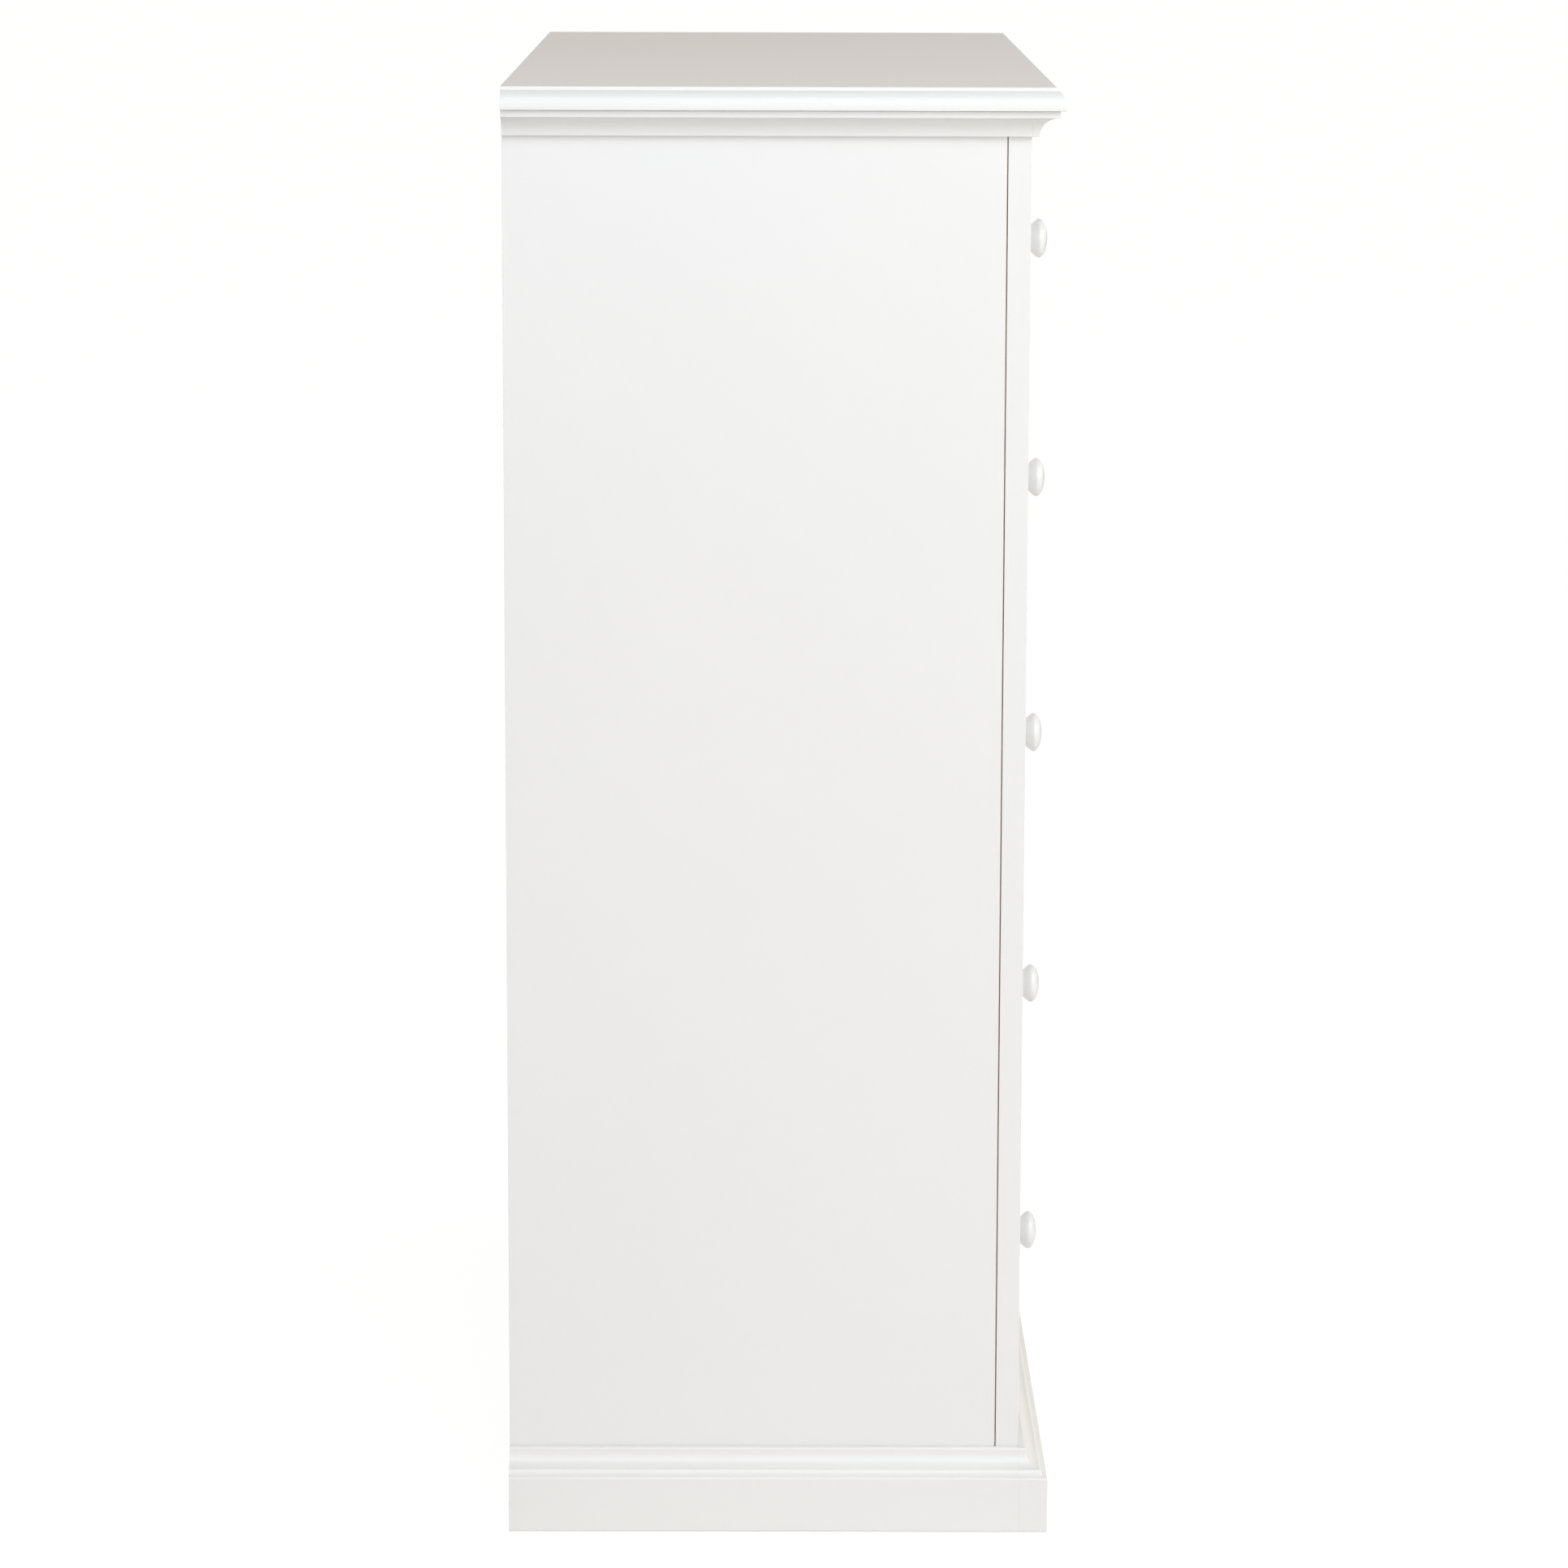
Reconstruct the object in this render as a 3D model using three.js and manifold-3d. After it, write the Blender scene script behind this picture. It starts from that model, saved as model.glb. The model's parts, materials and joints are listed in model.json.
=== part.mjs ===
// A tall chest of five drawers in painted wood: boards, mouldings, drawer boxes, runners and turned knobs.
// Millimetres. +Z is up, the drawers open towards -Y, and the origin is at the middle of the chest's
// bounding box, on the floor.
import * as THREE from "three";
import { mergeVertices } from "three/addons/utils/BufferGeometryUtils.js";
import Module from "manifold-3d";

// ---------- Driving dimensions ----------

// Overall, over the top board.
const WIDTH = 990;
const DEPTH = 434;
const HEIGHT = 1150;

// Pieces that touch keep this much air, the thickness of a glue line.
const GLUE_GAP = 0.3;

// Top board, with a moulded edge at the front and the sides: a square foot, a round, and a small step.
const TOP_THICKNESS = 18;
const TOP_OVERHANG = 26;
const TOP_EDGE_SQUARE = 2;
const TOP_EDGE_ROUND = 11;
const TOP_EDGE_ROUND_END_DEG = 68;
const TOP_EDGE_STEP = 1.2;
const TOP_EDGE_STEP_HEIGHT = 3;

// Carcass. The drawer fronts are set in the front frame, and are as thick as it is.
const SIDE_THICKNESS = 18;
const FRAME_THICKNESS = 18;
const STILE_WIDTH = 40;
const SHADOW_GROOVE_WIDTH = 1;
const SHADOW_GROOVE_DEPTH = 1.5;
const TOP_RAIL_REVEAL = 5.9;
const BOTTOM_RAIL_REVEAL = 8.9;
const BOTTOM_RAIL_HEIGHT = 34;
const BOTTOM_PANEL_THICKNESS = 16;
const BACK_THICKNESS = 4;
const BACK_REBATE_DEPTH = 5;
const BACK_REBATE_WIDTH = 6;

// Cove moulding under the top board.
const CORNICE_HEIGHT = 20.2;
const CORNICE_PROJECTION = 21;
const CORNICE_FILLET_HEIGHT = 5.2;
const CORNICE_FOOT = 5.8;
const CORNICE_COVE_LIP = 0.7;

// Plinth boards, with a cove, a bead and a step above a plain face.
const PLINTH_HEIGHT = 65;
const PLINTH_PROJECTION = 23;
const PLINTH_HEAD = 6.2;
const PLINTH_HEAD_HEIGHT = 3.7;
const PLINTH_COVE_HEIGHT = 10.8;
const PLINTH_BEAD_WIDTH = 2.6;
const PLINTH_STEP = 4.3;
const PLINTH_BEAD_HEIGHT = 4.5;
const PLINTH_LEDGE_FALL = 0.8;
const PLINTH_NOSE_RADIUS = 1.6;

// Drawers. The first is the top one, and the others share the rest of the height equally.
const DRAWER_COUNT = 5;
const FIRST_FRONT_HEIGHT = 176;
const DRAWER_GAP = 3;
const FRONT_SIDE_GAP = 2.5;
const BOX_SIDE_PLAY = 4;
const BOX_SIDE_THICKNESS = 14;
const BOX_BACK_THICKNESS = 14;
const BOX_BOTTOM_THICKNESS = 5;
const BOX_LIFT = 10;
const BOX_DROP = 30;
const BOX_BACK_DROP = 6;
const BOX_REAR_CLEARANCE = 15;
const BOTTOM_GROOVE_LIFT = 8;
const BOTTOM_GROOVE_DEPTH = 6;

// Wooden runner strips, which fit in a groove outside each drawer side.
const RUNNER_HEIGHT = 14;
const RUNNER_REAR_CLEARANCE = 25;
const RUNNER_BITE = 6;
const RUNNER_PLAY = 0.6;
const RUNNER_END_PLAY = 1;

// Turned knobs, two on each drawer, each set in from the end of the drawer's front.
const KNOB_INSET = 192;
const KNOB_DIAMETER = 31.5;
const KNOB_PROJECTION = 24.5;
const KNOB_RIM_FROM_FRONT = 17;
const KNOB_SEAT_DIAMETER = 16;
const KNOB_NECK_DIAMETER = 13;
const KNOB_NECK_FROM_FRONT = 5;
const KNOB_HOLE_DIAMETER = 4;
const KNOB_HOLE_DEPTH = 14;
const KNOB_SCREW_HOLE_DIAMETER = 5;

// Steps in a quarter turn of a moulding's curve, and in each curve and each whole turn of a knob.
const CURVE_STEPS = 6;
const KNOB_CURVE_STEPS = 4;
const KNOB_FACETS = 20;

// ---------- Derived places ----------

const bodyHalfWidth = WIDTH / 2 - TOP_OVERHANG;
const backY = DEPTH / 2;
const frontY = -DEPTH / 2 + TOP_OVERHANG;
const carcassTop = HEIGHT - TOP_THICKNESS;
const innerHalfWidth = bodyHalfWidth - SIDE_THICKNESS;
const openingHalfWidth = bodyHalfWidth - STILE_WIDTH;
const frameBackY = frontY + FRAME_THICKNESS;
const backPanelFrontY = backY - BACK_REBATE_DEPTH;
const openingTop = carcassTop - CORNICE_HEIGHT - TOP_RAIL_REVEAL;
const openingBottom = PLINTH_HEIGHT + BOTTOM_RAIL_REVEAL;
const stackedFronts = openingTop - openingBottom - (DRAWER_COUNT + 1) * DRAWER_GAP;
const lowerFrontHeight = (stackedFronts - FIRST_FRONT_HEIGHT) / (DRAWER_COUNT - 1);
const frontHalfWidth = openingHalfWidth - FRONT_SIDE_GAP;
const knobX = frontHalfWidth - KNOB_INSET;

// ---------- Materials ----------

const lacquer = new THREE.MeshStandardMaterial({ color: 0xf1f0ec, roughness: 0.45, metalness: 0 });
const boxWood = new THREE.MeshStandardMaterial({ color: 0xdcc39b, roughness: 0.6, metalness: 0 });
const runnerWood = new THREE.MeshStandardMaterial({ color: 0xc79a6b, roughness: 0.55, metalness: 0 });
const hardboard = new THREE.MeshStandardMaterial({ color: 0xb08a62, roughness: 0.75, metalness: 0 });

// ---------- Solid helpers ----------

const wasm = await Module();
wasm.setup();

// A closed geometry as a solid: only its positions are kept, and shared vertices are merged.
function toSolid(geometry) {
  const bare = new THREE.BufferGeometry();
  bare.setAttribute("position", geometry.getAttribute("position"));
  if (geometry.index) {
    bare.setIndex(geometry.index);
  }
  const merged = mergeVertices(bare, 1e-3);
  return new wasm.Manifold(
    new wasm.Mesh({
      numProp: 3,
      vertProperties: new Float32Array(merged.attributes.position.array),
      triVerts: new Uint32Array(merged.index.array),
    }),
  );
}

function toGeometry(solid) {
  const mesh = solid.getMesh();
  const geometry = new THREE.BufferGeometry();
  geometry.setAttribute("position", new THREE.BufferAttribute(mesh.vertProperties, 3));
  geometry.setIndex(new THREE.BufferAttribute(mesh.triVerts, 1));
  geometry.computeVertexNormals();
  return geometry;
}

const subtract = (whole, cutter) => toGeometry(toSolid(whole).subtract(toSolid(cutter)));
const intersect = (one, other) => toGeometry(toSolid(one).intersect(toSolid(other)));

function extrude(outline, depth) {
  return new THREE.ExtrudeGeometry(outline, { depth, bevelEnabled: false, curveSegments: CURVE_STEPS });
}

// An outline in (y, z) carried from x = from to x = to.
function alongX(outline, from, to) {
  const turned = new THREE.Matrix4().makeBasis(
    new THREE.Vector3(0, 1, 0),
    new THREE.Vector3(0, 0, 1),
    new THREE.Vector3(1, 0, 0),
  );
  return extrude(outline, to - from)
    .applyMatrix4(turned)
    .translate(from, 0, 0);
}

// An outline in (x, z) carried from y = from to y = to.
function alongY(outline, from, to) {
  return extrude(outline, to - from)
    .rotateX(Math.PI / 2)
    .translate(0, to, 0);
}

// An outline in (x, y) carried from z = from to z = to.
function alongZ(outline, from, to) {
  return extrude(outline, to - from).translate(0, 0, from);
}

// A box between two corners.
function block([x0, y0, z0], [x1, y1, z1]) {
  const box = new THREE.BoxGeometry(x1 - x0, y1 - y0, z1 - z0);
  return box.translate((x0 + x1) / 2, (y0 + y1) / 2, (z0 + z1) / 2);
}

// An outline through points, turned to run anticlockwise so that its extrusion faces outwards.
function outlineOf(points) {
  const turned = THREE.ShapeUtils.isClockWise(points) ? [...points].reverse() : points;
  return new THREE.Shape(turned);
}

function piece(parent, name, geometry, material) {
  const mesh = new THREE.Mesh(geometry, material);
  mesh.name = name;
  parent.add(mesh);
  return mesh;
}

// ---------- Moulding profiles ----------
// Each is a list of (out, up) points from its foot to its head: out is the distance past the face that the
// moulding is fixed to, and up is measured from the moulding's own underside.

// The points of an ellipse's arc, from one angle to another, in degrees.
function arc(out, up, radiusOut, radiusUp, from, to) {
  return Array.from({ length: CURVE_STEPS + 1 }, (_, step) => {
    const angle = THREE.MathUtils.degToRad(from + ((to - from) * step) / CURVE_STEPS);
    return new THREE.Vector2(out + radiusOut * Math.cos(angle), up + radiusUp * Math.sin(angle));
  });
}

// Top board: a square foot, an elliptical round, and a small sloping step up to the flat.
function topEdgeProfile() {
  const roundHeight = TOP_THICKNESS - TOP_EDGE_SQUARE - TOP_EDGE_STEP_HEIGHT;
  const radiusUp = roundHeight / Math.sin(THREE.MathUtils.degToRad(TOP_EDGE_ROUND_END_DEG));
  const centreOut = TOP_OVERHANG - TOP_EDGE_ROUND;
  const round = arc(centreOut, TOP_EDGE_SQUARE, TOP_EDGE_ROUND, radiusUp, 0, TOP_EDGE_ROUND_END_DEG);
  const flatOut = round[round.length - 1].x - TOP_EDGE_STEP;
  return [new THREE.Vector2(TOP_OVERHANG, 0), ...round, new THREE.Vector2(flatOut, TOP_THICKNESS)];
}

// Cornice: a foot, a hollow cove, and a square fillet at the head.
function corniceProfile() {
  const coveTop = CORNICE_HEIGHT - CORNICE_FILLET_HEIGHT;
  const coveOut = CORNICE_PROJECTION - CORNICE_COVE_LIP;
  return [
    ...arc(coveOut, 0, coveOut - CORNICE_FOOT, coveTop, 180, 90),
    new THREE.Vector2(CORNICE_PROJECTION, coveTop),
    new THREE.Vector2(CORNICE_PROJECTION, CORNICE_HEIGHT),
  ];
}

// Plinth: a plain face, a small nose, a step, a bead, a cove, and a square head.
function plinthProfile() {
  const headFoot = PLINTH_HEIGHT - PLINTH_HEAD_HEIGHT;
  const coveFoot = headFoot - PLINTH_COVE_HEIGHT;
  const beadFoot = coveFoot - PLINTH_BEAD_HEIGHT;
  const beadOut = PLINTH_PROJECTION - PLINTH_STEP - PLINTH_BEAD_WIDTH;
  const noseTop = beadFoot - PLINTH_LEDGE_FALL;
  const noseOut = PLINTH_PROJECTION - PLINTH_NOSE_RADIUS;
  return [
    new THREE.Vector2(PLINTH_PROJECTION, 0),
    ...arc(noseOut, noseTop - PLINTH_NOSE_RADIUS, PLINTH_NOSE_RADIUS, PLINTH_NOSE_RADIUS, 0, 90),
    ...arc(beadOut, beadFoot, PLINTH_BEAD_WIDTH, PLINTH_BEAD_HEIGHT, 0, 90),
    ...arc(beadOut, headFoot, beadOut - PLINTH_HEAD, PLINTH_COVE_HEIGHT, 270, 180).slice(1),
    new THREE.Vector2(PLINTH_HEAD, PLINTH_HEIGHT),
  ];
}

// The profile of a moulding on a face at `face`, standing on `foot` and backed at `back`, as an outline.
// `sign` is the way that it points along the outline's first axis.
function mouldingOutline(profile, face, back, foot, sign) {
  const height = profile[profile.length - 1].y;
  return outlineOf([
    new THREE.Vector2(back, foot),
    ...profile.map((point) => new THREE.Vector2(face + sign * point.x, foot + point.y)),
    new THREE.Vector2(back, foot + height),
  ]);
}

// A front view of a moulding that is shaped at both ends as it is in front.
function endedOutline(profile, foot) {
  const right = profile.map((point) => new THREE.Vector2(bodyHalfWidth + point.x, foot + point.y));
  const left = right.map((point) => new THREE.Vector2(-point.x, point.y)).reverse();
  return outlineOf([...right, ...left]);
}

// A moulding along the front, its ends worked to the same profile.
function frontMoulding(profile, back, foot) {
  const section = alongX(mouldingOutline(profile, frontY, back, foot, -1), -WIDTH / 2, WIDTH / 2);
  const ends = alongY(endedOutline(profile, foot), -DEPTH, DEPTH);
  return intersect(section, ends);
}

// A moulding along one side, from the front moulding to the back of the chest. side is -1 or 1.
function sideMoulding(profile, foot, side) {
  const face = side * bodyHalfWidth;
  const outline = mouldingOutline(profile, face, face + side * GLUE_GAP, foot, side);
  return alongY(outline, frontY, backY);
}

const SIDES = { left: -1, right: 1 };

// ---------- Carcass ----------

function addCarcass(parent) {
  const carcass = new THREE.Group();
  parent.add(carcass);

  piece(carcass, "top_board", frontMoulding(topEdgeProfile(), backY, carcassTop), lacquer);

  const corniceFoot = carcassTop - GLUE_GAP - CORNICE_HEIGHT;
  const mouldingBackY = frontY - GLUE_GAP;
  piece(carcass, "cornice_front", frontMoulding(corniceProfile(), mouldingBackY, corniceFoot), lacquer);
  piece(carcass, "plinth_front", frontMoulding(plinthProfile(), mouldingBackY, 0), lacquer);

  for (const [hand, side] of Object.entries(SIDES)) {
    piece(carcass, `cornice_${hand}`, sideMoulding(corniceProfile(), corniceFoot, side), lacquer);
    piece(carcass, `plinth_${hand}`, sideMoulding(plinthProfile(), 0, side), lacquer);
    piece(carcass, `side_panel_${hand}`, sidePanel(side), lacquer);
    piece(carcass, `stile_${hand}`, stile(side), lacquer);
  }

  piece(carcass, "top_rail", rail(openingTop, carcassTop - GLUE_GAP), lacquer);
  piece(carcass, "bottom_rail", rail(openingBottom - BOTTOM_RAIL_HEIGHT, openingBottom), lacquer);

  const panelHalfWidth = innerHalfWidth - GLUE_GAP;
  const bottomPanelFoot = openingBottom - BOTTOM_PANEL_THICKNESS;
  piece(
    carcass,
    "bottom_panel",
    block(
      [-panelHalfWidth, frameBackY + GLUE_GAP, bottomPanelFoot],
      [panelHalfWidth, backPanelFrontY, openingBottom],
    ),
    boxWood,
  );

  const backHalfWidth = innerHalfWidth + BACK_REBATE_WIDTH - GLUE_GAP;
  const backPanelY = backPanelFrontY + GLUE_GAP;
  piece(
    carcass,
    "back_panel",
    block(
      [-backHalfWidth, backPanelY, bottomPanelFoot],
      [backHalfWidth, backPanelY + BACK_THICKNESS, carcassTop - GLUE_GAP],
    ),
    hardboard,
  );
}

// A side panel, rebated behind for the back panel and in front for the shadow groove beside the stile.
function sidePanel(side) {
  const front = frameBackY + GLUE_GAP;
  const outline = outlineOf(
    [
      [innerHalfWidth, front],
      [bodyHalfWidth - SHADOW_GROOVE_DEPTH, front],
      [bodyHalfWidth - SHADOW_GROOVE_DEPTH, frameBackY + SHADOW_GROOVE_WIDTH],
      [bodyHalfWidth, frameBackY + SHADOW_GROOVE_WIDTH],
      [bodyHalfWidth, backY],
      [innerHalfWidth + BACK_REBATE_WIDTH, backY],
      [innerHalfWidth + BACK_REBATE_WIDTH, backPanelFrontY],
      [innerHalfWidth, backPanelFrontY],
    ].map(([x, y]) => new THREE.Vector2(side * x, y)),
  );
  return alongZ(outline, 0, carcassTop - GLUE_GAP);
}

// A front post of the frame.
function stile(side) {
  const walls = [side * openingHalfWidth, side * bodyHalfWidth];
  return block([Math.min(...walls), frontY, 0], [Math.max(...walls), frameBackY, carcassTop - GLUE_GAP]);
}

// A rail between the stiles, from one height to another.
function rail(foot, head) {
  const halfWidth = openingHalfWidth - GLUE_GAP;
  return block([-halfWidth, frontY, foot], [halfWidth, frameBackY, head]);
}

// ---------- Drawers ----------
// A drawer is made in its own frame: its front's lower edge is at z = 0 and the front's face is at y = 0.

const boxHalfWidth = openingHalfWidth - BOX_SIDE_PLAY;
const boxInnerHalfWidth = boxHalfWidth - BOX_SIDE_THICKNESS;
const boxRearY = backPanelFrontY - frontY - BOX_REAR_CLEARANCE;
const grooveFoot = BOX_LIFT + BOTTOM_GROOVE_LIFT;
const grooveHead = grooveFoot + BOX_BOTTOM_THICKNESS + GLUE_GAP;
const runnerGrooveDepth = RUNNER_BITE + RUNNER_END_PLAY;
const runnerGrooveHeight = RUNNER_HEIGHT + 2 * RUNNER_PLAY;

// How high the middle of a drawer's runner groove is above the lower edge of its front.
const runnerLevel = (frontHeight) => (BOX_LIFT + frontHeight - BOX_DROP) / 2;

// The front board, with a groove for the bottom behind and a hole for each knob's screw.
function drawerFront(frontHeight) {
  const face = new THREE.Shape([
    new THREE.Vector2(-frontHalfWidth, 0),
    new THREE.Vector2(frontHalfWidth, 0),
    new THREE.Vector2(frontHalfWidth, frontHeight),
    new THREE.Vector2(-frontHalfWidth, frontHeight),
  ]);
  for (const side of Object.values(SIDES)) {
    const hole = new THREE.Path();
    hole.absarc(side * knobX, frontHeight / 2, KNOB_SCREW_HOLE_DIAMETER / 2, 0, 2 * Math.PI, true);
    face.holes.push(hole);
  }
  const grooveHalfWidth = boxInnerHalfWidth + BOTTOM_GROOVE_DEPTH;
  const groove = block(
    [-grooveHalfWidth, FRAME_THICKNESS - BOTTOM_GROOVE_DEPTH, grooveFoot],
    [grooveHalfWidth, FRAME_THICKNESS + 1, grooveHead],
  );
  return subtract(alongY(face, 0, FRAME_THICKNESS), groove);
}

// A box side, grooved outside for the runner and inside for the bottom.
function drawerSide(frontHeight, side) {
  const head = frontHeight - BOX_DROP;
  const runnerFoot = runnerLevel(frontHeight) - runnerGrooveHeight / 2;
  const runnerHead = runnerFoot + runnerGrooveHeight;
  const runnerWall = boxHalfWidth - runnerGrooveDepth;
  const bottomWall = boxInnerHalfWidth + BOTTOM_GROOVE_DEPTH;
  const outline = outlineOf(
    [
      [boxInnerHalfWidth, BOX_LIFT],
      [boxHalfWidth, BOX_LIFT],
      [boxHalfWidth, runnerFoot],
      [runnerWall, runnerFoot],
      [runnerWall, runnerHead],
      [boxHalfWidth, runnerHead],
      [boxHalfWidth, head],
      [boxInnerHalfWidth, head],
      [boxInnerHalfWidth, grooveHead],
      [bottomWall, grooveHead],
      [bottomWall, grooveFoot],
      [boxInnerHalfWidth, grooveFoot],
    ].map(([x, z]) => new THREE.Vector2(side * x, z)),
  );
  return alongY(outline, FRAME_THICKNESS + GLUE_GAP, boxRearY);
}

function drawerBack(frontHeight) {
  const halfWidth = boxInnerHalfWidth - GLUE_GAP;
  return block(
    [-halfWidth, boxRearY - BOX_BACK_THICKNESS, grooveHead],
    [halfWidth, boxRearY, frontHeight - BOX_DROP - BOX_BACK_DROP],
  );
}

function drawerBottom() {
  const halfWidth = boxInnerHalfWidth + BOTTOM_GROOVE_DEPTH - GLUE_GAP;
  return block(
    [-halfWidth, FRAME_THICKNESS - BOTTOM_GROOVE_DEPTH + GLUE_GAP, grooveFoot + GLUE_GAP / 2],
    [halfWidth, boxRearY, grooveHead - GLUE_GAP / 2],
  );
}

// A turned knob: a seat and a waisted neck, a back that flares and rounds over to the rim, and a domed face.
// It is turned about its own Y axis, from its seat at 0, and then pointed forwards.
function knob() {
  const rim = KNOB_DIAMETER / 2;
  const profile = new THREE.Path();
  profile.moveTo(0, KNOB_HOLE_DEPTH);
  profile.lineTo(KNOB_HOLE_DIAMETER / 2, KNOB_HOLE_DEPTH);
  profile.lineTo(KNOB_HOLE_DIAMETER / 2, 0);
  profile.lineTo(KNOB_SEAT_DIAMETER / 2, 0);
  const neck = KNOB_NECK_DIAMETER / 2;
  profile.quadraticCurveTo(neck, KNOB_NECK_FROM_FRONT / 2, neck, KNOB_NECK_FROM_FRONT);
  const flare = KNOB_RIM_FROM_FRONT - KNOB_NECK_FROM_FRONT;
  profile.bezierCurveTo(
    neck + 0.15 * (rim - neck), KNOB_NECK_FROM_FRONT + 0.3 * flare,
    neck + 0.95 * (rim - neck), KNOB_NECK_FROM_FRONT + 0.75 * flare,
    rim, KNOB_RIM_FROM_FRONT,
  );
  const dome = KNOB_PROJECTION - GLUE_GAP - KNOB_RIM_FROM_FRONT;
  profile.absellipse(0, KNOB_RIM_FROM_FRONT, rim, dome, 0, Math.PI / 2, false);
  const points = profile.getPoints(KNOB_CURVE_STEPS);
  points[points.length - 1].x = 0;
  return new THREE.LatheGeometry(points, KNOB_FACETS);
}

function addDrawer(parent, number, foot, frontHeight) {
  const drawer = new THREE.Group();
  drawer.position.set(0, frontY, foot);
  parent.add(drawer);
  piece(drawer, `drawer_${number}_front`, drawerFront(frontHeight), lacquer);
  piece(drawer, `drawer_${number}_back`, drawerBack(frontHeight), boxWood);
  piece(drawer, `drawer_${number}_bottom`, drawerBottom(), boxWood);
  for (const [hand, side] of Object.entries(SIDES)) {
    piece(drawer, `drawer_${number}_side_${hand}`, drawerSide(frontHeight, side), boxWood);
    const turned = piece(drawer, `knob_${number}_${hand}`, knob(), lacquer);
    turned.rotation.x = Math.PI;
    turned.position.set(side * knobX, -GLUE_GAP, frontHeight / 2);
  }
}

// A pair of runner strips, fixed to the side panels behind the stiles. The drawer's front stops on them.
function addRunners(parent, number, level) {
  for (const [hand, side] of Object.entries(SIDES)) {
    const walls = [side * (innerHalfWidth - GLUE_GAP), side * (boxHalfWidth - RUNNER_BITE)];
    const strip = block(
      [Math.min(...walls), frameBackY + GLUE_GAP, level - RUNNER_HEIGHT / 2],
      [Math.max(...walls), backPanelFrontY - RUNNER_REAR_CLEARANCE, level + RUNNER_HEIGHT / 2],
    );
    piece(parent, `runner_${number}_${hand}`, strip, runnerWood);
  }
}

// ---------- The chest ----------

const chest = new THREE.Group();
addCarcass(chest);

let head = openingTop - DRAWER_GAP;
for (let number = 1; number <= DRAWER_COUNT; number += 1) {
  const frontHeight = number === 1 ? FIRST_FRONT_HEIGHT : lowerFrontHeight;
  const foot = head - frontHeight;
  addDrawer(chest, number, foot, frontHeight);
  addRunners(chest, number, foot + runnerLevel(frontHeight));
  head = foot - DRAWER_GAP;
}

export default chest;
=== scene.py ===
# %% [markdown]
# # A tall painted chest of drawers
# The chest's solids come from its CAD model and are the fixed frame for everything here: where each board,
# moulding, drawer and knob is, and which of them move together. This script gives each piece its fine
# surface and its finish, adds the small fixings that hold the chest together, and lights it in a plain
# studio.
#
# The frame is loaded first, so that every later size can be read from it.

# %% Load the frame
import json
import math

import bmesh
import bpy
import numpy as np
from mathutils import Matrix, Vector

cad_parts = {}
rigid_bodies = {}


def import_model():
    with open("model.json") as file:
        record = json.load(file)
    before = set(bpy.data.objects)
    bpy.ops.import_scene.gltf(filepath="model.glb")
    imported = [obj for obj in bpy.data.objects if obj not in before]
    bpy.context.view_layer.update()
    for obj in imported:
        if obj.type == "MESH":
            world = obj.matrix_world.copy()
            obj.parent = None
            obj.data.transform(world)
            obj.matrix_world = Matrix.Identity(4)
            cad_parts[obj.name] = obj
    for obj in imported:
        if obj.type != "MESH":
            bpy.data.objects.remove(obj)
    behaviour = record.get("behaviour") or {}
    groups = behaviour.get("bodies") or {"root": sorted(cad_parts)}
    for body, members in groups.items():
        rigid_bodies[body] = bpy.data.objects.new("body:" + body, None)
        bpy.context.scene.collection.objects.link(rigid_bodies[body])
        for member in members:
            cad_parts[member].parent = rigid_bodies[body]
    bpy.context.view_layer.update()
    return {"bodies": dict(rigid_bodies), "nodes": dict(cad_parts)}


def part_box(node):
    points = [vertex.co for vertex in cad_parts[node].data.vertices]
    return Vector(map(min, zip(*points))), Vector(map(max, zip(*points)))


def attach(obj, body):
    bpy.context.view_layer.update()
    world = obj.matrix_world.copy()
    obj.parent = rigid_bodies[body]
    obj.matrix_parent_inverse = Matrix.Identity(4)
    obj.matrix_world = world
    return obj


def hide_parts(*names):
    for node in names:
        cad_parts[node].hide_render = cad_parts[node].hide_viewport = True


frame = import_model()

MM = 0.001

# %% [markdown]
# ## Where the chest's main planes are
# Mouldings are fixed to the outside of the body, so their shapes are drawn from its faces. Those planes are
# measured from the frame's own pieces. Typing them in again would work too, but two copies of a size soon
# differ.

# %% Measure the body
stile_low, stile_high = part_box("stile_left")
body_half = -stile_low.x
front_plane = stile_low.y
back_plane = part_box("top_board")[1].y
print("body: half width %.1f mm, front at y = %.1f mm, back at y = %.1f mm"
      % (body_half / MM, front_plane / MM, back_plane / MM))

# %% [markdown]
# ## Patterns that several finishes share
# Paint and bare wood are materials of their own, but each is built from an effect that more than one of
# them needs: a sprayed film that is never quite even, and the figure of sawn wood. An effect could be
# copied into each material. Here it is a shader node group with named inputs, so every material places the
# same group with its own values. A group gives out only colours, masks and heights, and the shader itself
# stays in the material.


# %% Helpers for node groups
def new_group(name, inputs, outputs):
    """An empty shader node group. inputs and outputs are (name, socket kind, value) and (name, socket
    kind)."""
    tree = bpy.data.node_groups.new(name, "ShaderNodeTree")
    for label, kind, value in inputs:
        socket = tree.interface.new_socket(label, in_out="INPUT", socket_type="NodeSocket" + kind)
        if value is not None:
            socket.default_value = value
    for label, kind in outputs:
        tree.interface.new_socket(label, in_out="OUTPUT", socket_type="NodeSocket" + kind)
    return tree, tree.nodes.new("NodeGroupInput").outputs, tree.nodes.new("NodeGroupOutput").inputs


def add_node(tree, kind, settings=None, **inputs):
    """A node of one kind, with its settings and its inputs, each a value or another node's output."""
    node = tree.nodes.new("ShaderNode" + kind)
    for key, value in (settings or {}).items():
        setattr(node, key, value)
    for label, value in inputs.items():
        socket = node.inputs[label.replace("_", " ")]
        if isinstance(value, bpy.types.NodeSocket):
            tree.links.new(value, socket)
        else:
            socket.default_value = value
    return node


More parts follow.
